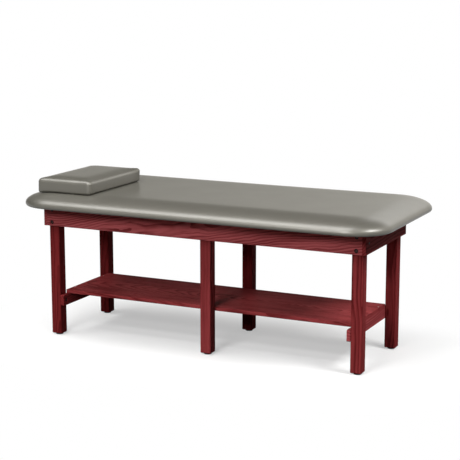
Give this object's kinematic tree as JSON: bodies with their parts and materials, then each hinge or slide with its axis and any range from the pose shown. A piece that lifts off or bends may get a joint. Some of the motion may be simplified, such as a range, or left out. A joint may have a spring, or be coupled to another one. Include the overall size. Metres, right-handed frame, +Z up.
{
  "type": "treatment table",
  "caption": "Fixed-height wooden treatment table with stained apron frame, full-length lower shelf, padded vinyl top with rounded edges and a loose head pillow.",
  "frame": {"origin": "floor level under the centre of the padded top", "axes": "+X along the length towards the foot end, +Y towards the rear long side, +Z up; the pillow lies at the -X end"},
  "size_m": [2.041, 0.972, 0.868],
  "materials": {
    "stained_wood": "satin dark red stain on open-grained hardwood",
    "plain_wood": "unfinished plywood and softwood",
    "vinyl": "satin warm grey vinyl",
    "foam": "matt foam",
    "glide": "matt black",
    "black_metal": "satin black",
    "bronzed_steel": "satin dark red-brown",
    "zinc_steel": "zinc plated"
  },
  "bodies": {
    "table": {"cleat_deck_screws": "zinc_steel", "cleat_rail_screws": "zinc_steel", "cross_rail_screws": "zinc_steel", "end_rail_bolts": "bronzed_steel", "end_rail_inserts": "zinc_steel", "end_rail_washers": "black_metal", "foot_end_rail": "stained_wood", "foot_front_deck_cleat": "plain_wood", "foot_front_glide": "glide", "foot_front_leg": "stained_wood", "foot_rear_deck_cleat": "plain_wood", "foot_rear_glide": "glide", "foot_rear_leg": "stained_wood", "foot_shelf_stretcher": "stained_wood", "front_side_rail": "stained_wood", "glide_screws": "zinc_steel", "head_end_rail": "stained_wood", "head_front_deck_cleat": "plain_wood", "head_front_glide": "glide", "head_front_leg": "stained_wood", "head_rear_deck_cleat": "plain_wood", "head_rear_glide": "glide", "head_rear_leg": "stained_wood", "head_shelf_stretcher": "stained_wood", "middle_cross_rail": "stained_wood", "middle_front_glide": "glide", "middle_front_leg": "stained_wood", "middle_leg_screws": "zinc_steel", "middle_rear_glide": "glide", "middle_rear_leg": "stained_wood", "rear_side_rail": "stained_wood", "shelf_panel": "stained_wood", "shelf_screws": "zinc_steel", "side_rail_bolts": "bronzed_steel", "side_rail_inserts": "zinc_steel", "side_rail_washers": "black_metal", "stretcher_bolts": "bronzed_steel", "stretcher_inserts": "zinc_steel", "stretcher_washers": "black_metal", "top_cover": "vinyl", "top_deck": "plain_wood", "top_foam": "foam"},
    "pillow": {"pillow_cover": "vinyl", "pillow_foam": "foam"}
  },
  "joints": [
    {"name": "pillow_lift", "type": "slide", "parent": "table", "child": "pillow", "axis": [0, 0, 1], "range_m": [0, 0.3]}
  ]
}
